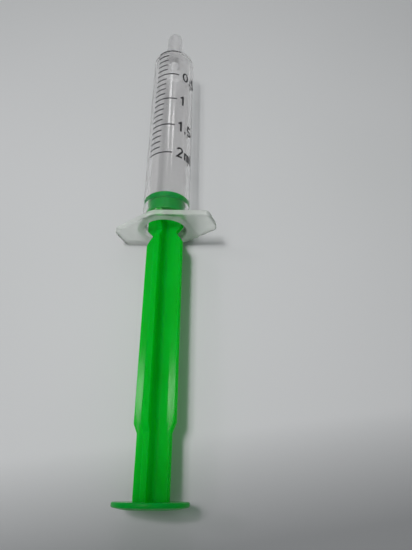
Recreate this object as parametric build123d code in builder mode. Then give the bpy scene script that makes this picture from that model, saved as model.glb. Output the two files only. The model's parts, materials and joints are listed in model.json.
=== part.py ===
from build123d import *
from math import cos, degrees, pi, radians, sin, tan
import os

# Two-piece 2 ml dosing syringe with a green plunger, drawn past its last graduation and
# lying on one long side of its finger flange and on the rim of its thumb disc.
#
# Frame: +Y runs along the syringe towards the nozzle and +Z is up. The origin is on the
# ground, under the axis, halfway along the syringe as it lies. Units are millimetres.
# Places along the syringe are given from the zero line, and are positive towards the nozzle.

# ------------------------------------------------------------------ barrel
BORE_R = 4.33
BARREL_R = 5.25
SHOULDER_Y = 1.0
SHOULDER_FILLET = 1.1
END_WALL = 0.9
BORE_END_FILLET = 0.35

# Nozzle: a plain male cone with a 6 % taper on the diameter
NOZZLE_TIP_Y = 11.2
NOZZLE_TIP_R = 2.0
NOZZLE_TAPER = 0.06
NOZZLE_EDGE_FILLET = 0.35
NOZZLE_ROOT_FILLET = 0.6
FLUID_BORE_TIP_R = 1.05
FLUID_BORE_ROOT_R = 1.25

# Finger flange: a six-sided plate whose long sides fall away from its middle
FLANGE_BACK_Y = -52.0
FLANGE_THICKNESS = 1.3
FLANGE_HALF_LENGTH = 11.2
FLANGE_SIDE_REACH = 6.7
FLANGE_SIDE_SLOPE = 20.0
FLANGE_MIDDLE_FILLET = 3.0
FLANGE_END_FILLET = 1.5
FLANGE_EDGE_FILLET = 0.3
FLANGE_ROOT_FILLET = 0.5

# Mouth of the bore: a lead-in and the bead that keeps the plunger from pulling out
MOUTH_R = 4.75
MOUTH_DEPTH = 0.45
BEAD_R = 4.20
BEAD_LENGTH = 0.8
BEAD_MIDDLE_Y = -50.6

# ------------------------------------------------------------------ plunger
PISTON_FRONT_Y = -44.5
PISTON_LENGTH = 4.2
LIP_R = 4.30
LIP_LENGTH = 1.4
LIP_WALL = 0.55
DISH_DEPTH = 0.7
PISTON_WAIST_R = 4.05
GUIDE_RING_R = 4.27
GUIDE_RING_LENGTH = 0.9
PISTON_BEVEL = 0.2

PLUNGER_LENGTH = 62.5
RIB_THICKNESS = 1.15
RIB_REACH = 4.12
RIB_ROOT_FILLET = 0.7
REDUCED_REACH = 3.35
STEP_START_Y = -93.0
STEP_END_Y = -94.7
NOTCH_START_Y = -51.6
NOTCH_DEEPEST_Y = -53.1
NOTCH_END_Y = -55.2
NOTCH_REACH = 2.7
NOTCH_SHOULDER_R = 1.2

DISC_R = 6.7
DISC_THICKNESS = 1.25
DISC_RIM_THICKNESS = 0.8
DISC_EDGE_FILLET = 0.3
THUMB_FLAT_R = 4.6
GATE_RECESS_R = 1.3
GATE_RECESS_DEPTH = 0.3
GATE_STUB_R = 0.5
GATE_STUB_HEIGHT = 0.18

# ------------------------------------------------------------------ printed scale
FULL_SCALE_ML = 2.0
MINOR_ML = 0.1
MINORS_PER_MAJOR = 5
INK_THICKNESS = 0.03
LINE_WIDTH = 0.34
# Angles round the barrel, from the top over to the +X side
LINES_START = -47.0
SHORT_LINE_END = -16.1
LONG_LINE_END = 17.3
NUMERALS_START = 28.0
# The print sits slightly askew: degrees round the barrel for each millimetre from the 1 ml line
PRINT_SKEW = 0.33

DIGIT_HEIGHT = 3.0
DIGIT_WIDTH = 1.75
STROKE = 0.46
ONE_WIDTH = 1.26
TWO_BOWL_START = 165
TWO_BOWL_TURN = -200
FIVE_BOWL_START = 145
FIVE_BOWL_TURN = -290
FIVE_STEM_X = -0.45
FIVE_BAR_END_X = 0.58
COMMA_TAIL = 0.42
COMMA_SLANT = 0.05
M_WIDTH = 2.0
LOWER_CASE_HEIGHT = 2.1
LETTER_GAP = 0.34
FULL_SCALE_NUMERAL_RAISED = 0.5
INK_CUT_DEPTH = 0.6

# ------------------------------------------------------------------ derived values
AXIS_Z = FLANGE_SIDE_REACH
OVERALL_LENGTH = NOZZLE_TIP_Y - PISTON_FRONT_Y + PLUNGER_LENGTH
ZERO_LINE_Y = OVERALL_LENGTH / 2 - NOZZLE_TIP_Y
ROLL = FLANGE_SIDE_SLOPE
INK_R = BARREL_R + INK_THICKNESS
MM_PER_ML = 1000 / (pi * BORE_R**2)
MINOR_PITCH = MINOR_ML * MM_PER_ML
SKEW_MIDDLE_Y = -FULL_SCALE_ML / 2 * MM_PER_ML
MINOR_COUNT = round(FULL_SCALE_ML / MINOR_ML)
NOZZLE_ROOT_R = NOZZLE_TIP_R + NOZZLE_TAPER / 2 * (NOZZLE_TIP_Y - SHOULDER_Y)
BORE_END_Y = SHOULDER_Y - END_WALL
FLANGE_FRONT_Y = FLANGE_BACK_Y + FLANGE_THICKNESS
DISC_BACK_Y = PISTON_FRONT_Y - PLUNGER_LENGTH
DISC_FRONT_Y = DISC_BACK_Y + DISC_THICKNESS
DISC_RIM_BACK_Y = DISC_FRONT_Y - DISC_RIM_THICKNESS
PISTON_BACK_Y = PISTON_FRONT_Y - PISTON_LENGTH
MATCH = 0.01

SYRINGE_AXIS = Axis((0, 0, AXIS_Z), (0, 1, 0))


def lengthwise_plane(roll):
    """Plane through the axis: x points away from it, rolled up from +X, and y is the syringe's."""
    across = (cos(radians(roll)), 0, sin(radians(roll)))
    normal = (-sin(radians(roll)), 0, cos(radians(roll)))
    return Plane(origin=(0, ZERO_LINE_Y, AXIS_Z), x_dir=across, z_dir=normal)


def cross_plane(y):
    """Plane square to the axis, y in front of the zero line, rolled with the flange; z points back."""
    across = (cos(radians(ROLL)), 0, sin(radians(ROLL)))
    return Plane(origin=(0, ZERO_LINE_Y + y, AXIS_Z), x_dir=across, z_dir=(0, -1, 0))


def surface_plane(angle, y):
    """Plane touching the barrel at an angle from its top: y points to the nozzle, z outwards."""
    outwards = (sin(radians(angle)), 0, cos(radians(angle)))
    across = (cos(radians(angle)), 0, -sin(radians(angle)))
    touch = (BARREL_R * outwards[0], ZERO_LINE_Y + y, AXIS_Z + BARREL_R * outwards[2])
    return Plane(origin=touch, x_dir=across, z_dir=outwards)


def circles(part, radius):
    """The part's circular edges of one radius, from the thumb end to the nozzle."""
    rings = part.edges().filter_by(GeomType.CIRCLE)
    return rings.filter_by(lambda ring: abs(ring.radius - radius) < MATCH).sort_by(Axis.Y)


def beside_axis(edge):
    """True for an edge nearer to the axis than one rib's thickness."""
    middle = edge.center()
    return (middle - Vector(0, middle.Y, AXIS_Z)).length < RIB_THICKNESS


# ------------------------------------------------------------------ barrel
# The finger flange is a plate; the tube, its end wall and the nozzle are one turned section.
with BuildPart() as barrel:
    side_middle = FLANGE_SIDE_REACH / cos(radians(FLANGE_SIDE_SLOPE))
    side_end = side_middle - FLANGE_HALF_LENGTH * tan(radians(FLANGE_SIDE_SLOPE))
    with BuildSketch(cross_plane(FLANGE_FRONT_Y)) as flange_outline:
        with BuildLine():
            Polyline(
                (FLANGE_HALF_LENGTH, side_end),
                (0, side_middle),
                (-FLANGE_HALF_LENGTH, side_end),
                (-FLANGE_HALF_LENGTH, -side_end),
                (0, -side_middle),
                (FLANGE_HALF_LENGTH, -side_end),
                close=True,
            )
        make_face()
        corners = flange_outline.vertices().group_by(Axis.X)
        fillet(corners[0] + corners[-1], FLANGE_END_FILLET)
        middles = flange_outline.vertices().sort_by(Axis.Y)
        fillet([middles[0], middles[-1]], FLANGE_MIDDLE_FILLET)
    extrude(amount=FLANGE_THICKNESS)
    fillet(barrel.edges().filter_by(Axis.Y, reverse=True), FLANGE_EDGE_FILLET)
    with BuildSketch(cross_plane(FLANGE_FRONT_Y)):
        Circle(MOUTH_R)
    extrude(amount=FLANGE_THICKNESS, mode=Mode.SUBTRACT)

    with BuildSketch(lengthwise_plane(ROLL)):
        with BuildLine():
            Polyline(
                (FLUID_BORE_ROOT_R, BORE_END_Y),
                (FLUID_BORE_TIP_R, NOZZLE_TIP_Y),
                (NOZZLE_TIP_R, NOZZLE_TIP_Y),
                (NOZZLE_ROOT_R, SHOULDER_Y),
                (BARREL_R, SHOULDER_Y),
                (BARREL_R, FLANGE_BACK_Y),
                (MOUTH_R, FLANGE_BACK_Y),
                (BORE_R, FLANGE_BACK_Y + MOUTH_DEPTH),
                (BORE_R, BEAD_MIDDLE_Y - BEAD_LENGTH / 2),
            )
            ThreePointArc(
                (BORE_R, BEAD_MIDDLE_Y - BEAD_LENGTH / 2),
                (BEAD_R, BEAD_MIDDLE_Y),
                (BORE_R, BEAD_MIDDLE_Y + BEAD_LENGTH / 2),
            )
            Polyline(
                (BORE_R, BEAD_MIDDLE_Y + BEAD_LENGTH / 2),
                (BORE_R, BORE_END_Y),
                (FLUID_BORE_ROOT_R, BORE_END_Y),
            )
        make_face()
    revolve(axis=SYRINGE_AXIS)
    fillet(circles(barrel, BARREL_R)[-1], SHOULDER_FILLET)
    fillet(circles(barrel, BARREL_R)[0], FLANGE_ROOT_FILLET)
    fillet(circles(barrel, NOZZLE_ROOT_R)[-1], NOZZLE_ROOT_FILLET)
    fillet(circles(barrel, NOZZLE_TIP_R)[-1], NOZZLE_EDGE_FILLET)
    fillet(circles(barrel, BORE_R)[-1], BORE_END_FILLET)
barrel.part.label = "barrel"

# ------------------------------------------------------------------ plunger
# A turned piston with a thin front lip, two crossing ribs and the thumb disc, in one moulding.
with BuildPart() as plunger:
    with BuildSketch(lengthwise_plane(ROLL)):
        with BuildLine():
            Polyline(
                (0, PISTON_FRONT_Y - DISH_DEPTH),
                (LIP_R - LIP_WALL - DISH_DEPTH / 2, PISTON_FRONT_Y - DISH_DEPTH),
                (LIP_R - LIP_WALL, PISTON_FRONT_Y),
                (LIP_R - PISTON_BEVEL, PISTON_FRONT_Y),
                (LIP_R, PISTON_FRONT_Y - PISTON_BEVEL),
                (LIP_R, PISTON_FRONT_Y - LIP_LENGTH + PISTON_BEVEL),
                (PISTON_WAIST_R, PISTON_FRONT_Y - LIP_LENGTH),
                (PISTON_WAIST_R, PISTON_BACK_Y + GUIDE_RING_LENGTH),
                (GUIDE_RING_R, PISTON_BACK_Y + GUIDE_RING_LENGTH - PISTON_BEVEL),
                (GUIDE_RING_R, PISTON_BACK_Y),
                (0, PISTON_BACK_Y),
                close=True,
            )
        make_face()
    revolve(axis=SYRINGE_AXIS)

    with BuildSketch(lengthwise_plane(ROLL)) as rib_outline:
        with BuildLine() as rib_half:
            Polyline(
                (0, DISC_FRONT_Y),
                (REDUCED_REACH, DISC_FRONT_Y),
                (REDUCED_REACH, STEP_END_Y),
                (RIB_REACH, STEP_START_Y),
                (RIB_REACH, NOTCH_END_Y),
                (NOTCH_REACH, NOTCH_DEEPEST_Y),
                (RIB_REACH, NOTCH_START_Y),
                (RIB_REACH, PISTON_BACK_Y),
                (0, PISTON_BACK_Y),
            )
            mirror(about=Plane.YZ)
        make_face()
        notch_shoulders = rib_outline.vertices().filter_by_position(
            Axis.Y, NOTCH_END_Y - MATCH, NOTCH_DEEPEST_Y + MATCH
        )
        fillet(notch_shoulders, NOTCH_SHOULDER_R)
    extrude(amount=RIB_THICKNESS / 2, both=True)
    with BuildSketch(lengthwise_plane(ROLL + 90)):
        add(rib_outline.sketch_local)
    extrude(amount=RIB_THICKNESS / 2, both=True)
    rib_roots = plunger.edges().filter_by(Axis.Y).filter_by(beside_axis)
    fillet(rib_roots, RIB_ROOT_FILLET)

    with BuildSketch(lengthwise_plane(ROLL)):
        with BuildLine():
            Polyline(
                (0, DISC_FRONT_Y),
                (DISC_R, DISC_FRONT_Y),
                (DISC_R, DISC_RIM_BACK_Y),
                (THUMB_FLAT_R, DISC_BACK_Y),
                (0, DISC_BACK_Y),
                close=True,
            )
        make_face()
    revolve(axis=SYRINGE_AXIS)
    fillet(circles(plunger, DISC_R), DISC_EDGE_FILLET)
    with BuildSketch(cross_plane(DISC_BACK_Y)):
        Circle(GATE_RECESS_R)
        Circle(GATE_STUB_R, mode=Mode.SUBTRACT)
    extrude(amount=-GATE_RECESS_DEPTH, mode=Mode.SUBTRACT)
    with BuildSketch(cross_plane(DISC_BACK_Y)):
        Circle(GATE_STUB_R)
    extrude(amount=GATE_STUB_HEIGHT - GATE_RECESS_DEPTH, mode=Mode.SUBTRACT)
plunger.part.label = "plunger"


# ------------------------------------------------------------------ printed scale
def skew(y):
    """How far the print has wandered round the barrel at y, in degrees towards +X."""
    return PRINT_SKEW * (y - SKEW_MIDDLE_Y)


def ring_lines(numbers, end_angle):
    """Graduation lines round the barrel, one for each number of minor divisions."""
    with BuildPart() as lines:
        for number in numbers:
            y = -number * MINOR_PITCH
            with BuildSketch(lengthwise_plane(90 - LINES_START - skew(y))):
                with Locations(((BARREL_R + INK_R) / 2, y)):
                    Rectangle(INK_THICKNESS, LINE_WIDTH)
            revolve(axis=SYRINGE_AXIS, revolution_arc=end_angle - LINES_START)
    return lines


major_numbers = range(0, MINOR_COUNT + 1, MINORS_PER_MAJOR)
minor_numbers = [number for number in range(MINOR_COUNT) if number % MINORS_PER_MAJOR]
major_lines = ring_lines(major_numbers, LONG_LINE_END)
minor_lines = ring_lines(minor_numbers, SHORT_LINE_END)
major_lines.part.label = "scale_major_lines"
minor_lines.part.label = "scale_minor_lines"


# Each character is drawn upright, centred on x = 0, with y to the nozzle.
def zero():
    with BuildSketch() as ink:
        Ellipse(DIGIT_WIDTH / 2, DIGIT_HEIGHT / 2)
        Ellipse(DIGIT_WIDTH / 2 - STROKE, DIGIT_HEIGHT / 2 - STROKE, mode=Mode.SUBTRACT)
    return ink.sketch


def one():
    top = (DIGIT_HEIGHT - STROKE) / 2
    with BuildSketch() as ink:
        with BuildLine():
            Polyline((-ONE_WIDTH / 2, top / 2), (0, top), (0, -DIGIT_HEIGHT / 2))
        trace(line_width=STROKE)
        Rectangle(2 * DIGIT_WIDTH, DIGIT_HEIGHT, mode=Mode.INTERSECT)
    return ink.sketch


def two():
    bowl = (DIGIT_WIDTH - STROKE) / 2
    foot = -(DIGIT_HEIGHT - STROKE) / 2
    with BuildSketch() as ink:
        with BuildLine():
            bend = CenterArc((0, -foot - bowl), bowl, TWO_BOWL_START, TWO_BOWL_TURN)
            Polyline(bend @ 1, (-bowl, foot), (bowl, foot))
        trace(line_width=STROKE)
    return ink.sketch


def five():
    bowl = (DIGIT_WIDTH - STROKE) / 2
    top = (DIGIT_HEIGHT - STROKE) / 2
    with BuildSketch() as ink:
        with BuildLine():
            bend = CenterArc((0, bowl - top), bowl, FIVE_BOWL_START, FIVE_BOWL_TURN)
        trace(line_width=STROKE)
        with BuildLine():
            Polyline(bend @ 0, (FIVE_STEM_X, top), (FIVE_BAR_END_X, top))
        trace(line_width=STROKE)
    return ink.sketch


def comma():
    half = STROKE / 2
    foot = -DIGIT_HEIGHT / 2
    with BuildSketch() as ink:
        with BuildLine():
            Polyline(
                (-half, foot + STROKE),
                (half, foot + STROKE),
                (half, foot),
                (-COMMA_SLANT, foot - COMMA_TAIL),
                (-half, foot - COMMA_TAIL),
                (-COMMA_SLANT, foot),
                (-half, foot),
                close=True,
            )
        make_face()
    return ink.sketch


def letter_m():
    foot = -DIGIT_HEIGHT / 2
    bow = (M_WIDTH - STROKE) / 4
    spring = foot + LOWER_CASE_HEIGHT - STROKE / 2 - bow
    with BuildSketch() as ink:
        with Locations((-2 * bow, foot), (0, foot), (2 * bow, foot)):
            Rectangle(STROKE, spring - foot, align=(Align.CENTER, Align.MIN))
        with Locations((-2 * bow, foot)):
            Rectangle(STROKE, LOWER_CASE_HEIGHT, align=(Align.CENTER, Align.MIN))
        for middle in (-bow, bow):
            with BuildLine():
                CenterArc((middle, spring), bow, 0, 180)
            trace(line_width=STROKE)
    return ink.sketch


def letter_l():
    with BuildSketch() as ink:
        Rectangle(STROKE, DIGIT_HEIGHT)
    return ink.sketch


WIDTHS = {
    zero: DIGIT_WIDTH,
    one: ONE_WIDTH,
    two: DIGIT_WIDTH,
    five: DIGIT_WIDTH,
    comma: STROKE,
    letter_m: M_WIDTH,
    letter_l: STROKE,
}


def numeral(characters, value_ml, raised=0.0):
    """Ink of one numeral, raised from its line: its characters follow each other round the barrel."""
    y = raised - value_ml * MM_PER_ML
    travelled = radians(NUMERALS_START + skew(y)) * BARREL_R
    with BuildPart() as ink:
        for character in characters:
            middle = travelled + WIDTHS[character] / 2
            with BuildSketch(surface_plane(degrees(middle / BARREL_R), y)):
                add(character())
            extrude(amount=INK_CUT_DEPTH, both=True)
            travelled += WIDTHS[character] + LETTER_GAP
        with Locations(Plane(origin=(0, 0, AXIS_Z), z_dir=(0, 1, 0))):
            Cylinder(INK_R, OVERALL_LENGTH, mode=Mode.INTERSECT)
            Cylinder(BARREL_R, OVERALL_LENGTH, mode=Mode.SUBTRACT)
    return ink


numerals = {
    "numeral_0_5": numeral((zero, comma, five), 0.5),
    "numeral_1": numeral((one,), 1.0),
    "numeral_1_5": numeral((one, comma, five), 1.5),
    "numeral_2_ml": numeral((two, letter_m, letter_l), FULL_SCALE_ML, FULL_SCALE_NUMERAL_RAISED),
}
for name, ink in numerals.items():
    ink.part.label = name

# ------------------------------------------------------------------ output
os.makedirs("parts", exist_ok=True)
export_step(barrel.part, "parts/barrel.step")
export_step(plunger.part, "parts/plunger.step")
export_step(major_lines.part, "parts/scale_major_lines.step")
export_step(minor_lines.part, "parts/scale_minor_lines.step")
for name, ink in numerals.items():
    export_step(ink.part, f"parts/{name}.step")
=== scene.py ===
import json
import math

import bmesh
import bpy
import numpy as np
from mathutils import Matrix, Vector

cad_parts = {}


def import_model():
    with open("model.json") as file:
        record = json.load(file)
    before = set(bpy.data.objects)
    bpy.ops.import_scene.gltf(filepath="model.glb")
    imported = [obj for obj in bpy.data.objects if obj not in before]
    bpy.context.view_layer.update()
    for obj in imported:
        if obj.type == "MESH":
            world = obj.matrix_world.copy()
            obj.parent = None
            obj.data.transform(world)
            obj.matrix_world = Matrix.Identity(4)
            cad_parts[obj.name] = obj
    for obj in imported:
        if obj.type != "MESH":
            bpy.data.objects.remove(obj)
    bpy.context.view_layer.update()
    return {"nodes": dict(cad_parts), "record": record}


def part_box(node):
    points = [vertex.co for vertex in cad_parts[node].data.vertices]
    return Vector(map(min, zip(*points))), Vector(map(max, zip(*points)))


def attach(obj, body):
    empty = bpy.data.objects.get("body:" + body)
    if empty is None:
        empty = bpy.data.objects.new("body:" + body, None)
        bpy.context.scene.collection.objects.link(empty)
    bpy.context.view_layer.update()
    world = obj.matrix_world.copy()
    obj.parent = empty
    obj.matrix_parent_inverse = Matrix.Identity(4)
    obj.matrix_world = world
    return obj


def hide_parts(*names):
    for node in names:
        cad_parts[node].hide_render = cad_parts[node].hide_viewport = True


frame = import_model()

# The syringe lies along Y with its nozzle towards +Y. Sizes of the barrel and the plunger are in
# millimetres, and MM turns them into the frame's metres. Places along the axis come from the frame.
MM = 0.001
MICRON = 0.000001
barrel_low, barrel_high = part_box("barrel")
plunger_low, plunger_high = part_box("plunger")
mounts = {mount["name"]: mount for mount in frame["record"]["mounts"]}

AXIS_Z = (plunger_low.z + plunger_high.z) / 2 / MM
NOZZLE_TIP_Y = barrel_high.y / MM
FLANGE_BACK_Y = barrel_low.y / MM
PISTON_FRONT_Y = plunger_high.y / MM
DISC_BACK_Y = plunger_low.y / MM
DISC_R = (plunger_high.x - plunger_low.x) / 2 / MM
BARREL_R = mounts["barrel_body"]["dims"]["r_mm"]

# ------------------------------------------------------------------ barrel sizes
BORE_R = 4.33
BORE_END_ROUND = 0.35
NOZZLE_LENGTH = 10.2
NOZZLE_TIP_R = 2.0
NOZZLE_TIP_ROUND = 0.35
NOZZLE_ROOT_R = 2.306
NOZZLE_ROOT_ROUND = 0.6
CHANNEL_TIP_R = 1.05
CHANNEL_TIP_ROUND = 0.15
CHANNEL_ROOT_R = 1.25
CHANNEL_ROOT_ROUND = 0.1
END_WALL = 0.9
SHOULDER_ROUND = 1.1
FLANGE_THICKNESS = 1.3
FLANGE_HALF_LENGTH = 11.2
FLANGE_SIDE_REACH = 6.7
FLANGE_SIDE_SLOPE = math.radians(20.0)
FLANGE_MIDDLE_ROUND = 3.0
FLANGE_END_ROUND = 1.5
FLANGE_EDGE_ROUND = 0.3
FLANGE_ROOT_ROUND = 0.5
FLANGE_ROOT_R = BARREL_R + FLANGE_ROOT_ROUND
MOUTH_R = 4.75
MOUTH_DEPTH = 0.45
BEAD_R = 4.20
BEAD_FROM_BACK = 1.4
BEAD_LENGTH = 0.8
# The syringe lies on one long side of its flange, so that side's slope rolls it about its axis
ROLL = FLANGE_SIDE_SLOPE

SHOULDER_Y = NOZZLE_TIP_Y - NOZZLE_LENGTH
BORE_END_Y = SHOULDER_Y - END_WALL
FLANGE_FRONT_Y = FLANGE_BACK_Y + FLANGE_THICKNESS

# Where the barrel's finishes meet. The thick plastic round the mouth is milkier than the rest of
# the flange's faces, and a face counts as the flange's rim where its normal leans along the axis
# by less than RIM_LEAN.
MILKY_R = 6.2
MILKY_END_Y = FLANGE_BACK_Y + 0.1
FROSTED_END_Y = FLANGE_FRONT_Y + 0.02
NOZZLE_FINISH_Y = BORE_END_Y - 0.4
RIM_LEAN = 0.7

# ------------------------------------------------------------------ plunger sizes
PISTON_LENGTH = 4.2
# The soft lip presses on the bore all round, so no air is left between them
LIP_R = BORE_R + 0.02
LIP_LENGTH = 1.4
LIP_WALL = 0.55
LIP_OUTER_ROUND = 0.12
LIP_INNER_ROUND = 0.08
DISH_DEPTH = 0.7
DISH_ROUND = 0.25
WAIST_R = 4.05
WAIST_ROUND = 0.1
GUIDE_RING_R = 4.27
GUIDE_RING_LENGTH = 0.9
GUIDE_RING_FRONT_ROUND = 0.2
GUIDE_RING_BACK_ROUND = 0.15
RIB_REACH = 4.12
NOTCH_REACH = 2.7
REDUCED_REACH = 3.35
RIB_THICKNESS = 1.14
RIB_ROOT_ROUND = 0.7
RIB_TIP_ROUND = 0.14
# How far the ribs run on inside the piston and the disc
RIB_OVERLAP = 0.4
DISC_THICKNESS = 1.25
DISC_RIM_THICKNESS = 0.8
DISC_EDGE_ROUND = 0.3
THUMB_FLAT_R = 4.6
THUMB_FLAT_ROUND = 8.0
GATE_RECESS_R = 1.3
GATE_RECESS_DEPTH = 0.3
GATE_RECESS_ROUND = 0.1
GATE_STUB_R = 0.5
GATE_STUB_DEPTH = 0.12
GATE_STUB_ROUND = 0.05
# Stations of the rod, from the piston's front face towards the thumb, and the rounds at them
NOTCH_START = 7.1
NOTCH_START_ROUND = 0.2
NOTCH_DEEPEST = 8.6
NOTCH_DEEPEST_ROUND = 0.35
NOTCH_END = 10.7
NOTCH_END_ROUND = 1.2
STEP_START = 48.5
STEP_END = 50.2
STEP_ROUND = 0.8

# Where the plunger's finishes meet. The ribs' sides are polished from POLISHED_R outwards. Nearer
# the axis they are satin, and so are their tips, whose faces look outward by TIP_LEAN or more.
LIP_FINISH_Y = PISTON_FRONT_Y - LIP_LENGTH - 0.1
POLISHED_R = 2.9
TIP_LEAN = 0.2

# ------------------------------------------------------------------ fineness of the meshes
TURN_COLUMNS = 160
ARC_STEPS = 8
FLANGE_CORNER_STEPS = 12
FLANGE_SIDE_STEPS = 28
BEAD_STEPS = 12
BORE_RINGS = 24
RIB_SIDE_STEPS = 6
# About how far apart the rings of the rod and of the barrel's outside lie along the axis
STATION_GAP = 2
# Rings across the flange's flat faces, as shares of the way out, and across the end wall
PLATE_SHARES = (0.33, 0.66)
END_WALL_RING_GAP = 0.3
# Edges that turn by more than this stay sharp
SHARP_ANGLE = math.radians(40)


# ------------------------------------------------------------------ outlines
def corner_arc(before, corner, after, radius, steps, inset=0):
    """The arc that rounds a corner, drawn in towards its own centre by the inset."""
    back = (before - corner).normalized()
    ahead = (after - corner).normalized()
    half = back.angle(ahead) / 2
    centre = corner + (back + ahead).normalized() * (radius / math.sin(half))
    first = (corner + back * (radius / math.tan(half)) - centre).normalized()
    last = (corner + ahead * (radius / math.tan(half)) - centre).normalized()
    return [centre + first.slerp(last, k / steps) * (radius - inset) for k in range(steps + 1)]


def rounded(corners):
    """A path through corners (r, y, radius), with an arc at each one whose radius isn't 0."""
    points = [Vector(corner[:2]) for corner in corners]
    path = []
    for number, (_, _, radius) in enumerate(corners):
        if radius == 0:
            path.append(tuple(points[number]))
            continue
        neighbours = points[number - 1:number + 2]
        path += [tuple(point) for point in corner_arc(*neighbours, radius, ARC_STEPS)]
    return path


def stepped(path):
    """The path with points put evenly between the ones that lie far apart along the axis."""
    closer = []
    for before, after in zip(path, path[1:]):
        pieces = max(1, round(abs(after[1] - before[1]) / STATION_GAP))
        closer += [tuple(Vector(before).lerp(Vector(after), k / pieces)) for k in range(pieces)]
    closer.append(path[-1])
    return closer


def arc(x, z, radius, first, last):
    """Points round (x, z), from the first angle to the last."""
    turns = [first + (last - first) * k / ARC_STEPS for k in range(ARC_STEPS + 1)]
    return [(x + radius * math.cos(turn), z + radius * math.sin(turn)) for turn in turns]


def place(r, turn, y):
    """A point r from the axis, turned from +X towards +Z, in the frame's metres."""
    return Vector((r * math.cos(turn), y, AXIS_Z + r * math.sin(turn))) * MM


# ------------------------------------------------------------------ meshes
def finished(name, mesh):
    """A new object from a bmesh, linked to the scene."""
    data = bpy.data.meshes.new(name)
    mesh.to_mesh(data)
    mesh.free()
    made = bpy.data.objects.new(name, data)
    bpy.context.scene.collection.objects.link(made)
    return made


def join_rows(mesh, row, following):
    """A band of four-sided faces between two closed rows of points."""
    count = len(row)
    for k in range(count):
        ahead = (k + 1) % count
        mesh.faces.new((row[k], row[ahead], following[ahead], following[k]))


def grid_mesh(name, rings, closed_rings=True):
    """A closed mesh over rings of points: the last ring joins the first, or both are capped."""
    mesh = bmesh.new()
    rows = [[mesh.verts.new(point) for point in ring] for ring in rings]
    pairs = list(zip(rows, rows[1:]))
    if closed_rings:
        pairs.append((rows[-1], rows[0]))
    for row, following in pairs:
        join_rows(mesh, row, following)
    if not closed_rings:
        mesh.faces.new(list(reversed(rows[0])))
        mesh.faces.new(rows[-1])
    bmesh.ops.recalc_face_normals(mesh, faces=mesh.faces)
    return finished(name, mesh)


def turned(name, profile):
    """A solid turned round the axis from (r, y) points that start and end on it."""
    mesh = bmesh.new()
    turns = [2 * math.pi * k / TURN_COLUMNS for k in range(TURN_COLUMNS)]
    rows = [[mesh.verts.new(place(r, turn, y)) for turn in turns] for r, y in profile[1:-1]]
    for row, following in zip(rows, rows[1:]):
        join_rows(mesh, row, following)
    for (_, y), row in ((profile[0], rows[0]), (profile[-1], rows[-1])):
        pole = mesh.verts.new(place(0, 0, y))
        for k in range(TURN_COLUMNS):
            mesh.faces.new((row[k], row[(k + 1) % TURN_COLUMNS], pole))
    bmesh.ops.recalc_face_normals(mesh, faces=mesh.faces)
    return finished(name, mesh)


def joined_solids(name, solids):
    """One closed mesh: the union of the given solids."""
    body = solids[0]
    for other in solids[1:]:
        union = body.modifiers.new("union", "BOOLEAN")
        union.operation = "UNION"
        union.solver = "EXACT"
        union.object = other
    graph = bpy.context.evaluated_depsgraph_get()
    data = bpy.data.meshes.new_from_object(body.evaluated_get(graph))
    made = bpy.data.objects.new(name, data)
    data.name = name
    bpy.context.scene.collection.objects.link(made)
    for solid in solids:
        bpy.data.objects.remove(solid)
    return made


def dress(piece, finishes, finish_of):
    """Give the piece its finishes, and each of its faces the one that finish_of names."""
    piece.data.materials.clear()
    for finish in finishes.values():
        piece.data.materials.append(finish)
    slots = list(finishes)
    for face in piece.data.polygons:
        middle = face.center / MM
        outward = Vector((middle.x, 0, middle.z - AXIS_Z))
        face.material_index = slots.index(finish_of(middle.y, outward, face.normal))


def shade(piece):
    """Smooth shading that keeps large flat faces flat and sharp edges sharp."""
    piece.data.shade_smooth()
    piece.data.set_sharp_from_angle(angle=SHARP_ANGLE)
    weighted = piece.modifiers.new("even_normals", "WEIGHTED_NORMAL")
    weighted.keep_sharp = True


# ------------------------------------------------------------------ node helpers
# Noise seldom leaves this range
NOISE_LOW = 0.3
NOISE_HIGH = 0.7

# A clear moulding's shadow goes from its face-on tone to its edge-on tone between these values of
# Layer Weight's Facing, which is 0 for a ray that meets the skin squarely and 1 for one along it
GRAZING_START = 0.45
GRAZING_END = 0.9


def material(name):
    """A new node material: returns it, its node tree and its Principled shader."""
    made = bpy.data.materials.new(name)
    made.use_nodes = True
    return made, made.node_tree, made.node_tree.nodes["Principled BSDF"]


def noise(tree, waves, detail, stretch=(1, 1, 1)):
    """Noise over the object's own coordinates, with that many waves per metre."""
    where = tree.nodes.new("ShaderNodeTexCoord")
    sized = tree.nodes.new("ShaderNodeMapping")
    sized.inputs["Scale"].default_value = stretch
    wave = tree.nodes.new("ShaderNodeTexNoise")
    wave.inputs["Scale"].default_value = waves
    wave.inputs["Detail"].default_value = detail
    tree.links.new(where.outputs["Object"], sized.inputs["Vector"])
    tree.links.new(sized.outputs["Vector"], wave.inputs["Vector"])
    return wave.outputs["Fac"]


def between(tree, factor, low, high):
    """The factor's usual range mapped to run from low to high."""
    spread = tree.nodes.new("ShaderNodeMapRange")
    spread.inputs["From Min"].default_value = NOISE_LOW
    spread.inputs["From Max"].default_value = NOISE_HIGH
    spread.inputs["To Min"].default_value = low
    spread.inputs["To Max"].default_value = high
    tree.links.new(factor, spread.inputs["Value"])
    return spread.outputs["Result"]


def colour(tree, shader, factor, tones):
    """A base colour that wanders between two tones with the factor."""
    first, second = tones
    tone = tree.nodes.new("ShaderNodeMix")
    tone.data_type = "RGBA"
    tone.inputs["A"].default_value = (*first, 1)
    tone.inputs["B"].default_value = (*second, 1)
    tree.links.new(between(tree, factor, 0, 1), tone.inputs["Factor"])
    tree.links.new(tone.outputs["Result"], shader.inputs["Base Color"])


def roughness(tree, shader, factor, smoothest, roughest):
    """A roughness that wanders between two values with the factor."""
    tree.links.new(between(tree, factor, smoothest, roughest), shader.inputs["Roughness"])


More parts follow.
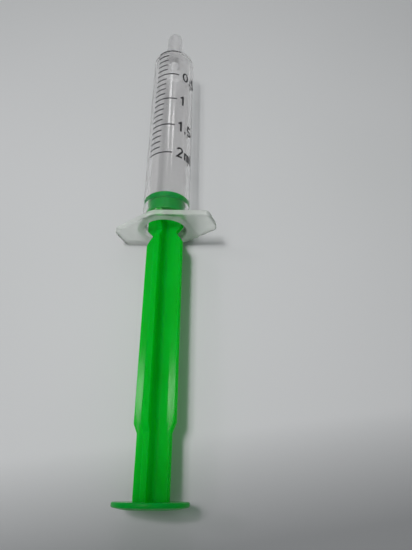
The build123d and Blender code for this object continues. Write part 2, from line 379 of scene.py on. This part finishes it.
def bump(tree, shader, height, depth):
    """Small relief on the shader's normal, depth in metres."""
    relief = tree.nodes.new("ShaderNodeBump")
    relief.inputs["Distance"].default_value = depth
    relief.inputs["Strength"].default_value = 1.0
    tree.links.new(height, relief.inputs["Height"])
    tree.links.new(relief.outputs["Normal"], shader.inputs["Normal"])


def tinted_clear(tree, tint):
    """A transparent shader of one tint."""
    clear = tree.nodes.new("ShaderNodeBsdfTransparent")
    clear.inputs["Color"].default_value = (*tint, 1)
    return clear


def shown_unless(tree, shader, rays, clear):
    """The shader to most rays, and the clear one to the one or two that Light Path names."""
    path = tree.nodes.new("ShaderNodeLightPath")
    either = tree.nodes.new("ShaderNodeMath")
    either.operation = "MAXIMUM"
    # Where only one kind of ray is named, the second input stays at this
    either.inputs[1].default_value = 0
    choice = tree.nodes.new("ShaderNodeMixShader")
    for number, ray in enumerate(rays):
        tree.links.new(path.outputs[ray], either.inputs[number])
    tree.links.new(either.outputs["Value"], choice.inputs["Fac"])
    tree.links.new(shader.outputs["BSDF"], choice.inputs[1])
    tree.links.new(clear.outputs["BSDF"], choice.inputs[2])
    tree.links.new(choice.outputs["Shader"], tree.nodes["Material Output"].inputs["Surface"])


def lets_lamps_through(tree, shader, face_on, edge_on):
    """Shadows of a clear moulding: lamps shine through it, less where they graze its skin."""
    grazing = tree.nodes.new("ShaderNodeLayerWeight")
    grazing.inputs["Blend"].default_value = 0.5
    tone = tree.nodes.new("ShaderNodeMapRange")
    tone.interpolation_type = "SMOOTHSTEP"
    tone.inputs["From Min"].default_value = GRAZING_START
    tone.inputs["From Max"].default_value = GRAZING_END
    tone.inputs["To Min"].default_value = face_on
    tone.inputs["To Max"].default_value = edge_on
    clear = tree.nodes.new("ShaderNodeBsdfTransparent")
    tree.links.new(grazing.outputs["Facing"], tone.inputs["Value"])
    tree.links.new(tone.outputs["Result"], clear.inputs["Color"])
    shown_unless(tree, shader, ("Is Shadow Ray", "Is Diffuse Ray"), clear)


# ------------------------------------------------------------------ materials
# Refraction. The frosted parts have less than polypropylene's own, to keep their edges pale.
CLEAR_IOR = 1.49
NOZZLE_IOR = 1.30
FROSTED_IOR = 1.22
GREEN_IOR = 1.52


def clear_polypropylene():
    """The tube: clear and glossy, with faint waves drawn out along it."""
    made, tree, shader = material("clear_polypropylene")
    tones = (0.965, 0.955, 0.955), (0.99, 0.98, 0.98)
    flow = noise(tree, waves=220, detail=2, stretch=(1, 0.25, 1))
    colour(tree, shader, flow, tones)
    roughness(tree, shader, flow, smoothest=0.07, roughest=0.11)
    shader.inputs["IOR"].default_value = CLEAR_IOR
    shader.inputs["Transmission Weight"].default_value = 1.0
    bump(tree, shader, flow, depth=4 * MICRON)
    lets_lamps_through(tree, shader, face_on=0.95, edge_on=0.38)
    return made


def nozzle_polypropylene():
    """The nozzle, the shoulder and the end wall: clear plastic with a finely frosted skin."""
    made, tree, shader = material("nozzle_polypropylene")
    tones = (0.98, 0.975, 0.975), (1.0, 0.995, 0.995)
    grain = noise(tree, waves=3600, detail=2)
    colour(tree, shader, grain, tones)
    roughness(tree, shader, grain, smoothest=0.26, roughest=0.34)
    shader.inputs["IOR"].default_value = NOZZLE_IOR
    shader.inputs["Transmission Weight"].default_value = 1.0
    bump(tree, shader, grain, depth=6 * MICRON)
    lets_lamps_through(tree, shader, face_on=0.98, edge_on=0.85)
    return made


def frosted_polypropylene(name, tones, clearness):
    """The flange: frosted plastic that is milkier where its clearness is low."""
    made, tree, shader = material(name)
    grain = noise(tree, waves=4200, detail=3)
    cloud = noise(tree, waves=240, detail=2)
    colour(tree, shader, cloud, tones)
    roughness(tree, shader, grain, smoothest=0.46, roughest=0.56)
    shader.inputs["IOR"].default_value = FROSTED_IOR
    shader.inputs["Transmission Weight"].default_value = clearness
    bump(tree, shader, grain, depth=10 * MICRON)
    lets_lamps_through(tree, shader, face_on=0.6, edge_on=0.3)
    return made


def green_polyethylene(name, tones, smoothest, roughest, shine):
    """The plunger: waxy green plastic that light soaks into and that throws a green shadow."""
    made, tree, shader = material(name)
    cloud = noise(tree, waves=260, detail=3, stretch=(1, 0.3, 1))
    grain = noise(tree, waves=5200, detail=3)
    colour(tree, shader, cloud, tones)
    roughness(tree, shader, grain, smoothest, roughest)
    shader.inputs["IOR"].default_value = GREEN_IOR
    shader.inputs["Specular IOR Level"].default_value = shine
    shader.inputs["Subsurface Weight"].default_value = 1.0
    # How far red, green and blue light soak in, in metres
    shader.inputs["Subsurface Radius"].default_value = (0.0002, 0.0070, 0.0010)
    shader.inputs["Subsurface Scale"].default_value = 1.0
    bump(tree, shader, grain, depth=6 * MICRON)
    shown_unless(tree, shader, ("Is Shadow Ray",), tinted_clear(tree, (0.02, 0.38, 0.06)))
    return made


def black_ink():
    """The printed scale: speckled black ink, whose own shadow is faint."""
    made, tree, shader = material("black_ink")
    tones = (0.010, 0.010, 0.012), (0.028, 0.027, 0.030)
    speckle = noise(tree, waves=9000, detail=2)
    colour(tree, shader, speckle, tones)
    roughness(tree, shader, speckle, smoothest=0.42, roughest=0.6)
    bump(tree, shader, speckle, depth=4 * MICRON)
    shown_unless(tree, shader, ("Is Shadow Ray",), tinted_clear(tree, (0.85, 0.85, 0.85)))
    return made


def pale_floor():
    """The table under the syringe."""
    made, tree, shader = material("pale_floor")
    tones = (0.60, 0.61, 0.61), (0.64, 0.645, 0.65)
    colour(tree, shader, noise(tree, waves=9, detail=2), tones)
    shader.inputs["Roughness"].default_value = 0.7
    return made


# ------------------------------------------------------------------ barrel
def flange_outline(inset):
    """Points round the flange, seen from the thumb end, drawn in by the inset."""
    middle = FLANGE_SIDE_REACH / math.cos(FLANGE_SIDE_SLOPE)
    end = middle - FLANGE_HALF_LENGTH * math.tan(FLANGE_SIDE_SLOPE)
    corners = [
        (FLANGE_HALF_LENGTH, -end, FLANGE_END_ROUND),
        (FLANGE_HALF_LENGTH, end, FLANGE_END_ROUND),
        (0, middle, FLANGE_MIDDLE_ROUND),
        (-FLANGE_HALF_LENGTH, end, FLANGE_END_ROUND),
        (-FLANGE_HALF_LENGTH, -end, FLANGE_END_ROUND),
        (0, -middle, FLANGE_MIDDLE_ROUND),
    ]
    spots = [Vector(corner[:2]) for corner in corners]
    points = []
    for number, (_, _, radius) in enumerate(corners):
        before = spots[number - 1]
        after = spots[(number + 1) % len(spots)]
        bend = corner_arc(before, spots[number], after, radius, FLANGE_CORNER_STEPS, inset)
        if points:
            points += flange_side(points[-1], bend[0])
        points += bend
    points += flange_side(points[-1], points[0])
    return points


def flange_side(start, end):
    """Evenly spaced points strictly between the two ends of a straight side."""
    return [start.lerp(end, k / FLANGE_SIDE_STEPS) for k in range(1, FLANGE_SIDE_STEPS)]


# The turn about the axis of each point of the flange's outline. All of the barrel's rings share
# these, so that its round stretches run into the flange's faces column by column.
OUTLINE_TURNS = [math.atan2(point.y, point.x) for point in flange_outline(0)]


def round_ring(r, y):
    """A round section of the barrel."""
    return [place(r, turn + ROLL, y) for turn in OUTLINE_TURNS]


def flange_ring(inset, y, share=1.0, inner_r=0.0):
    """A section of the flange, or one a share of the way out to it from the inner radius."""
    ring = []
    for point, turn in zip(flange_outline(inset), OUTLINE_TURNS):
        inner = Vector((math.cos(turn), math.sin(turn))) * inner_r
        spot = inner.lerp(point, share)
        ring.append(place(spot.length, math.atan2(spot.y, spot.x) + ROLL, y))
    return ring


def flange_rings():
    """The flange's front face, its rounded edge and its back face, as far in as the milky ring."""
    edge = FLANGE_EDGE_ROUND
    turns = [math.pi / 2 * step / ARC_STEPS for step in range(ARC_STEPS + 1)]
    rings = [flange_ring(edge, FLANGE_FRONT_Y, share, FLANGE_ROOT_R) for share in PLATE_SHARES]
    for turn in turns:
        y = FLANGE_FRONT_Y - edge * (1 - math.cos(turn))
        rings.append(flange_ring(edge * (1 - math.sin(turn)), y))
    for turn in turns:
        y = FLANGE_BACK_Y + edge * (1 - math.sin(turn))
        rings.append(flange_ring(edge * (1 - math.cos(turn)), y))
    for share in reversed(PLATE_SHARES):
        rings.append(flange_ring(edge, FLANGE_BACK_Y, share, MILKY_R))
    rings.append(round_ring(MILKY_R, FLANGE_BACK_Y))
    return rings


def bead_profile():
    """The low bead inside the mouth that holds the plunger back."""
    middle_y = FLANGE_BACK_Y + BEAD_FROM_BACK
    profile = []
    for step in range(BEAD_STEPS + 1):
        share = step / BEAD_STEPS
        r = BORE_R - (BORE_R - BEAD_R) * math.sin(math.pi * share)
        profile.append((r, middle_y + (share - 0.5) * BEAD_LENGTH))
    return profile


def inside_profile():
    """Mouth, bead, bore and end wall, from the back forwards."""
    mouth = [(MOUTH_R, FLANGE_BACK_Y), (BORE_R, FLANGE_BACK_Y + MOUTH_DEPTH)]
    bead = bead_profile()
    bore_start_y = bead[-1][1]
    stations = np.linspace(bore_start_y, BORE_END_Y - BORE_END_ROUND, BORE_RINGS)[1:-1]
    bore = [(BORE_R, y) for y in stations]
    end_wall = rounded([
        (BORE_R, bore_start_y, 0),
        (BORE_R, BORE_END_Y, BORE_END_ROUND),
        (CHANNEL_ROOT_R + 2 * END_WALL_RING_GAP, BORE_END_Y, 0),
    ])[1:]
    return mouth + bead + bore + end_wall


def outside_profile():
    """Fluid channel, nozzle, shoulder and tube, from the end wall to the flange's root."""
    return stepped(rounded([
        (CHANNEL_ROOT_R + END_WALL_RING_GAP, BORE_END_Y, 0),
        (CHANNEL_ROOT_R, BORE_END_Y, CHANNEL_ROOT_ROUND),
        (CHANNEL_TIP_R, NOZZLE_TIP_Y, CHANNEL_TIP_ROUND),
        (NOZZLE_TIP_R, NOZZLE_TIP_Y, NOZZLE_TIP_ROUND),
        (NOZZLE_ROOT_R, SHOULDER_Y, NOZZLE_ROOT_ROUND),
        (BARREL_R, SHOULDER_Y, SHOULDER_ROUND),
        (BARREL_R, FLANGE_FRONT_Y, FLANGE_ROOT_ROUND),
        (BARREL_R + 2 * FLANGE_ROOT_ROUND, FLANGE_FRONT_Y, 0),
    ])[:-1])


def barrel_finish(y, outward, normal):
    """The finish of a face of the barrel, from its place along the axis and away from it."""
    if y < FROSTED_END_Y and outward.length > FLANGE_ROOT_R and abs(normal.y) < RIM_LEAN:
        return "rim"
    if y < MILKY_END_Y and outward.length < MILKY_R:
        return "mouth"
    if y < FROSTED_END_Y:
        return "flange"
    if y > NOZZLE_FINISH_Y:
        return "nozzle"
    return "tube"


def barrel_moulding():
    """Tube, nozzle and flange as one closed skin: rings of points round the whole section."""
    rings = [round_ring(r, y) for r, y in inside_profile() + outside_profile()]
    made = grid_mesh("barrel_moulding", rings + flange_rings())
    flange = (0.96, 0.99, 0.95), (0.98, 1.0, 0.97)
    rim = (0.80, 0.83, 0.79), (0.84, 0.87, 0.83)
    mouth = (0.94, 0.97, 0.93), (0.97, 1.0, 0.96)
    finishes = {
        "tube": clear_polypropylene(),
        "flange": frosted_polypropylene("frosted_polypropylene", flange, clearness=0.95),
        "nozzle": nozzle_polypropylene(),
        "rim": frosted_polypropylene("frosted_polypropylene_rim", rim, clearness=0.55),
        "mouth": frosted_polypropylene("frosted_polypropylene_mouth", mouth, clearness=0.2),
    }
    dress(made, finishes, barrel_finish)
    shade(made)
    return made


# ------------------------------------------------------------------ plunger
def cross_ring(reach, y):
    """Outline of the crossed ribs, square to the axis, with rounded roots and tips."""
    half = RIB_THICKNESS / 2
    start = half + RIB_ROOT_ROUND
    end = reach - RIB_TIP_ROUND
    flat = half - RIB_TIP_ROUND
    right_angle = math.pi / 2
    sides = [start + (end - start) * k / RIB_SIDE_STEPS for k in range(1, RIB_SIDE_STEPS)]
    quarter = arc(start, -start, RIB_ROOT_ROUND, math.pi, right_angle)
    quarter += [(x, -half) for x in sides]
    quarter += arc(end, -flat, RIB_TIP_ROUND, -right_angle, 0)
    quarter += arc(end, flat, RIB_TIP_ROUND, 0, right_angle)
    quarter += [(x, half) for x in reversed(sides)]
    ring = []
    for number in range(4):
        for x, z in quarter:
            turn = math.atan2(z, x) + number * right_angle + ROLL
            ring.append(place(math.hypot(x, z), turn, y))
    return ring


def rod_solid():
    """The crossed ribs, from inside the piston to inside the thumb disc."""
    front = PISTON_FRONT_Y
    reaches = stepped(rounded([
        (RIB_REACH, front - PISTON_LENGTH + RIB_OVERLAP, 0),
        (RIB_REACH, front - NOTCH_START, NOTCH_START_ROUND),
        (NOTCH_REACH, front - NOTCH_DEEPEST, NOTCH_DEEPEST_ROUND),
        (RIB_REACH, front - NOTCH_END, NOTCH_END_ROUND),
        (RIB_REACH, front - STEP_START, STEP_ROUND),
        (REDUCED_REACH, front - STEP_END, STEP_ROUND),
        (REDUCED_REACH, DISC_BACK_Y + DISC_THICKNESS - RIB_OVERLAP, 0),
    ]))
    return grid_mesh("rod", [cross_ring(reach, y) for reach, y in reaches], closed_rings=False)


def piston_solid():
    """Dished front, sealing lip, waist and rear guide ring."""
    front = PISTON_FRONT_Y
    back = PISTON_FRONT_Y - PISTON_LENGTH
    return turned("piston", rounded([
        (0, front - DISH_DEPTH, 0),
        (LIP_R - LIP_WALL - DISH_DEPTH / 2, front - DISH_DEPTH, DISH_ROUND),
        (LIP_R - LIP_WALL, front, LIP_INNER_ROUND),
        (LIP_R, front, LIP_OUTER_ROUND),
        (LIP_R, front - LIP_LENGTH, LIP_OUTER_ROUND),
        (WAIST_R, front - LIP_LENGTH, WAIST_ROUND),
        (WAIST_R, back + GUIDE_RING_LENGTH, WAIST_ROUND),
        (GUIDE_RING_R, back + GUIDE_RING_LENGTH, GUIDE_RING_FRONT_ROUND),
        (GUIDE_RING_R, back, GUIDE_RING_BACK_ROUND),
        (0, back, 0),
    ]))


def disc_solid():
    """Thumb disc: gate stub and recess, crowned back, thin rim and flat front."""
    back = DISC_BACK_Y
    front = back + DISC_THICKNESS
    return turned("disc", rounded([
        (0, back + GATE_STUB_DEPTH, 0),
        (GATE_STUB_R, back + GATE_STUB_DEPTH, GATE_STUB_ROUND),
        (GATE_STUB_R, back + GATE_RECESS_DEPTH, GATE_STUB_ROUND),
        (GATE_RECESS_R, back + GATE_RECESS_DEPTH, GATE_RECESS_ROUND),
        (GATE_RECESS_R, back, GATE_RECESS_ROUND),
        (THUMB_FLAT_R, back, THUMB_FLAT_ROUND),
        (DISC_R, front - DISC_RIM_THICKNESS, DISC_EDGE_ROUND),
        (DISC_R, front, DISC_EDGE_ROUND),
        (0, front, 0),
    ]))


def plunger_finish(y, outward, normal):
    """The finish of a face of the plunger, from its place along the axis and away from it."""
    # The lip's faces get a deeper green still: painted shade.
    if y > LIP_FINISH_Y and outward.length > WAIST_R:
        return "lip_painted_shade"
    # The piston's and the disc's faces get a darker, bluer green than the rod's: painted shade.
    if y > PISTON_FRONT_Y - PISTON_LENGTH or y < DISC_BACK_Y + DISC_THICKNESS:
        return "painted_shade"
    if outward.length > POLISHED_R and normal.dot(outward) < TIP_LEAN * outward.length:
        return "polished"
    return "satin"


def plunger_moulding():
    """Rod, piston and thumb disc as one closed skin."""
    made = joined_solids("plunger_moulding", [rod_solid(), piston_solid(), disc_solid()])
    rod = (0.0, 0.39, 0.014), (0.0, 0.44, 0.022)
    # A darker, bluer green for the piston and the disc: painted shade, not a different plastic.
    painted_shade = (0.0, 0.30, 0.035), (0.0, 0.34, 0.045)
    # The lip touches the bore all round; its green is painted deeper still than the piston's,
    # painted shade that darkens the lip.
    lip_painted_shade = (0.0, 0.20, 0.04), (0.0, 0.23, 0.05)
    finishes = {
        "polished": green_polyethylene(
            "green_polyethylene", rod, smoothest=0.1, roughest=0.16, shine=0.25
        ),
        "satin": green_polyethylene(
            "green_polyethylene_satin", rod, smoothest=0.5, roughest=0.6, shine=0.04
        ),
        "painted_shade": green_polyethylene(
            "green_polyethylene_painted_shade", painted_shade, smoothest=0.3, roughest=0.4, shine=0.12
        ),
        "lip_painted_shade": green_polyethylene(
            "green_polyethylene_lip_painted_shade", lip_painted_shade, smoothest=0.3, roughest=0.4, shine=0.12
        ),
    }
    dress(made, finishes, plunger_finish)
    shade(made)
    return made


barrel = barrel_moulding()
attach(barrel, "barrel")
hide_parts("barrel")

plunger = plunger_moulding()
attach(plunger, "plunger")
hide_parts("plunger")

ink = black_ink()
for name, node in frame["nodes"].items():
    if name.startswith(("scale_", "numeral_")):
        node.data.materials.clear()
        node.data.materials.append(ink)


# ------------------------------------------------------------------ floor, lights and camera
def square(mesh, half_side):
    """A flat square, level and centred."""
    bmesh.ops.create_grid(mesh, x_segments=1, y_segments=1, size=half_side)


def floor():
    """The table top, which the syringe lies on."""
    mesh = bmesh.new()
    square(mesh, half_side=3.0)
    made = finished("floor", mesh)
    made.data.materials.append(pale_floor())


def area_light(name, towards, distance, width, height, watts, aimed=(0, 0, 0), spread=180):
    """A rectangular lamp along a direction from the spot that it faces."""
    data = bpy.data.lights.new(name, "AREA")
    data.shape = "RECTANGLE"
    data.size = width
    data.size_y = height
    data.energy = watts
    data.spread = math.radians(spread)
    lamp = bpy.data.objects.new(name, data)
    bpy.context.scene.collection.objects.link(lamp)
    direction = Vector(towards).normalized()
    lamp.location = direction * distance + Vector(aimed)
    lamp.rotation_mode = "QUATERNION"
    lamp.rotation_quaternion = direction.to_track_quat("Z", "Y")


def net():
    """A net's material, which lets a fifth of the light through."""
    made, tree, shader = material("net")
    tree.nodes.remove(shader)
    gauze = tinted_clear(tree, (0.2, 0.2, 0.2))
    tree.links.new(gauze.outputs["BSDF"], tree.nodes["Material Output"].inputs["Surface"])
    return made


def scrim():
    """A net below the main lamp that dims the thumb end; only the rays towards lamps meet it."""
    half_side = 0.3
    swing = math.radians(7.5)
    edge = Vector((-0.01, -0.0479, 0.07))
    mesh = bmesh.new()
    square(mesh, half_side)
    bmesh.ops.translate(mesh, verts=mesh.verts, vec=(0, -half_side, 0))
    bmesh.ops.rotate(mesh, verts=mesh.verts, matrix=Matrix.Rotation(swing, 3, "Z"))
    bmesh.ops.translate(mesh, verts=mesh.verts, vec=edge)
    made = finished("scrim", mesh)
    made.data.materials.append(net())
    made.visible_camera = False
    made.visible_diffuse = False
    made.visible_glossy = False
    made.visible_transmission = False


def lamps():
    """Two lamps overhead, and three strips that the tube and the ribs' faces mirror."""
    area_light(
        "overhead", (-0.282, -0.082, 1.0), distance=0.344,
        width=0.075, height=0.03, watts=0.15, aimed=(0.02, 0.01, 0), spread=100,
    )
    area_light(
        "second_overhead", (-0.36, -0.03, 1.0), distance=0.45,
        width=0.095, height=0.04, watts=0.36,
    )
    area_light(
        "far_strip", (-0.125, 1.08, 1.0), distance=1.6,
        width=0.2, height=0.2, watts=0.5,
    )
    area_light(
        "far_strip_faint", (0.32, 0.95, 1.0), distance=1.6,
        width=0.12, height=0.16, watts=0.15,
    )
    area_light(
        "left_strip", (-1.035, 0.23, 1.0), distance=1.4,
        width=0.135, height=0.16, watts=0.66,
    )


def camera():
    """The photo's view, from above the thumb end and tilted towards the nozzle."""
    data = bpy.data.cameras.new("camera")
    data.sensor_width = 36
    data.lens = 29.13
    data.clip_start = 0.001
    made = bpy.data.objects.new("camera", data)
    bpy.context.scene.collection.objects.link(made)
    right = Vector((0.9999, 0.0070, 0.0123))
    up = Vector((-0.0116, 0.9008, 0.4340))
    backward = right.cross(up)
    turn = Matrix((right, up, backward)).transposed()
    made.rotation_mode = "QUATERNION"
    made.rotation_quaternion = turn.to_quaternion()
    made.location = Vector((8.35, -55.9, 85.2 + AXIS_Z)) * MM
    bpy.context.scene.camera = made


def world():
    """The room's faint, slightly blue light."""
    made = bpy.data.worlds.new("room")
    made.use_nodes = True
    sky = made.node_tree.nodes["Background"]
    sky.inputs["Color"].default_value = (0.80, 0.83, 0.86, 1)
    sky.inputs["Strength"].default_value = 0.22
    bpy.context.scene.world = made


floor()
camera()
world()
scrim()
lamps()
bpy.context.scene.view_settings.view_transform = "Standard"
